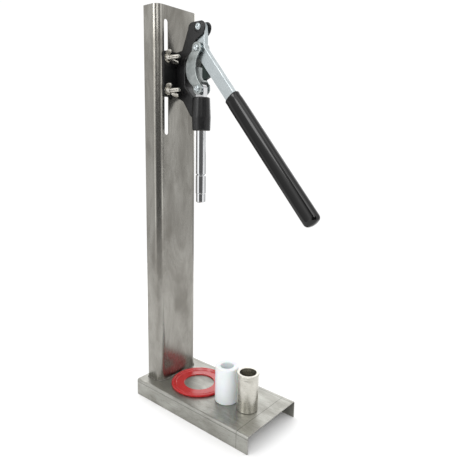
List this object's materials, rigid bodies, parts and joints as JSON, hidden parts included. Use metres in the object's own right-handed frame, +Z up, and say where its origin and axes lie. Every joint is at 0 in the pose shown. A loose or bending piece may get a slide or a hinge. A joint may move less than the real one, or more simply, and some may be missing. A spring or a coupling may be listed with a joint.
{
  "type": "capping machine",
  "caption": "Bench corking and capping machine: folded steel base, slotted upright, height-set black head with lever, bowed link and plunger, bottle pad and two press sleeves.",
  "frame": {"origin": "on the floor, at the middle of the machine's footprint with the lever down (bottom centre of the box)", "axes": "+Z up along the upright, +Y to the back, where the upright stands; the lever and the open base point to -Y; +X to the right seen from the front"},
  "size_m": [0.125, 0.3046, 0.642],
  "materials": {
    "base_steel": "cold-rolled stainless sheet, dull and lightly scuffed",
    "column_steel": "brushed stainless sheet",
    "weld": "welded and wire-brushed",
    "red_pad": "moulded gloss",
    "black_paint": "satin black paint over a casting",
    "bronze": "sintered bronze",
    "zinc": "bright zinc plate",
    "nut_steel": "bright nickel plate",
    "dark_gusset": "dark oxide",
    "black_grip": "dipped vinyl, high gloss",
    "chrome_rod": "ground and chromed",
    "white_nylon": "turned nylon",
    "sleeve_steel": "turned stainless, brushed"
  },
  "bodies": {
    "stand": {"base_channel": "base_steel", "column_channel": "column_steel", "column_weld": "weld", "bottle_pad": "red_pad"},
    "head": {"mount_plate": "black_paint", "head_frame": "black_paint", "guide_bush": "bronze", "frame_pivot_pin": "zinc", "clamp_bolts": "nut_steel", "clamp_washers": "nut_steel"},
    "lever": {"lever_channel": "zinc", "lever_stiffener": "dark_gusset", "lever_grip": "black_grip", "lever_joint_pin": "zinc", "lever_joint_spacers": "zinc"},
    "link": {"link_channel": "zinc", "link_upper_rivets": "zinc", "link_lower_pin": "zinc"},
    "plunger": {"plunger_rod": "chrome_rod", "plunger_spacers": "zinc", "plunger_tip": "chrome_rod"},
    "nut_upper_left": {"wing_nut_upper_left": "nut_steel"},
    "nut_upper_right": {"wing_nut_upper_right": "nut_steel"},
    "nut_lower_left": {"wing_nut_lower_left": "nut_steel"},
    "nut_lower_right": {"wing_nut_lower_right": "nut_steel"},
    "nylon_sleeve": {"nylon_sleeve": "white_nylon"},
    "steel_sleeve": {"steel_sleeve": "sleeve_steel"}
  },
  "joints": [
    {"name": "head_height", "type": "slide", "parent": "stand", "child": "head", "axis": [0, 0, 1], "range_m": [-0.06, 0.05]},
    {"name": "lever_swing", "type": "hinge", "parent": "head", "child": "lever", "pos_m": [0, 0.06233, 0.608], "axis": [-1, 0, 0], "range_deg": [0, 90]},
    {"name": "plunger_stroke", "type": "slide", "parent": "head", "child": "plunger", "axis": [0, 0, 1], "range_m": [0, 0.0347]},
    {"name": "link_swing", "type": "hinge", "parent": "plunger", "child": "link", "pos_m": [0, 0.06233, 0.5195], "axis": [1, 0, 0], "range_deg": [0, 32.19]},
    {"name": "nut_upper_left_spin", "type": "hinge", "parent": "head", "child": "nut_upper_left", "pos_m": [-0.026, 0.10933, 0.566], "axis": [0, 1, 0], "continuous": true},
    {"name": "nut_upper_right_spin", "type": "hinge", "parent": "head", "child": "nut_upper_right", "pos_m": [0.026, 0.10933, 0.566], "axis": [0, 1, 0], "continuous": true},
    {"name": "nut_lower_left_spin", "type": "hinge", "parent": "head", "child": "nut_lower_left", "pos_m": [-0.026, 0.10933, 0.5175], "axis": [0, 1, 0], "continuous": true},
    {"name": "nut_lower_right_spin", "type": "hinge", "parent": "head", "child": "nut_lower_right", "pos_m": [0.026, 0.10933, 0.5175], "axis": [0, 1, 0], "continuous": true},
    {"name": "nylon_sleeve_lift", "type": "slide", "parent": "stand", "child": "nylon_sleeve", "axis": [0, 0, 1], "range_m": [0, 0.12]},
    {"name": "steel_sleeve_lift", "type": "slide", "parent": "stand", "child": "steel_sleeve", "axis": [0, 0, 1], "range_m": [0, 0.12]}
  ],
  "couplings": [
    {"joint": "plunger_stroke", "follows": "lever_swing", "m_per_rad": 0.02209},
    {"joint": "link_swing", "follows": "lever_swing", "ratio": 0.35769}
  ]
}
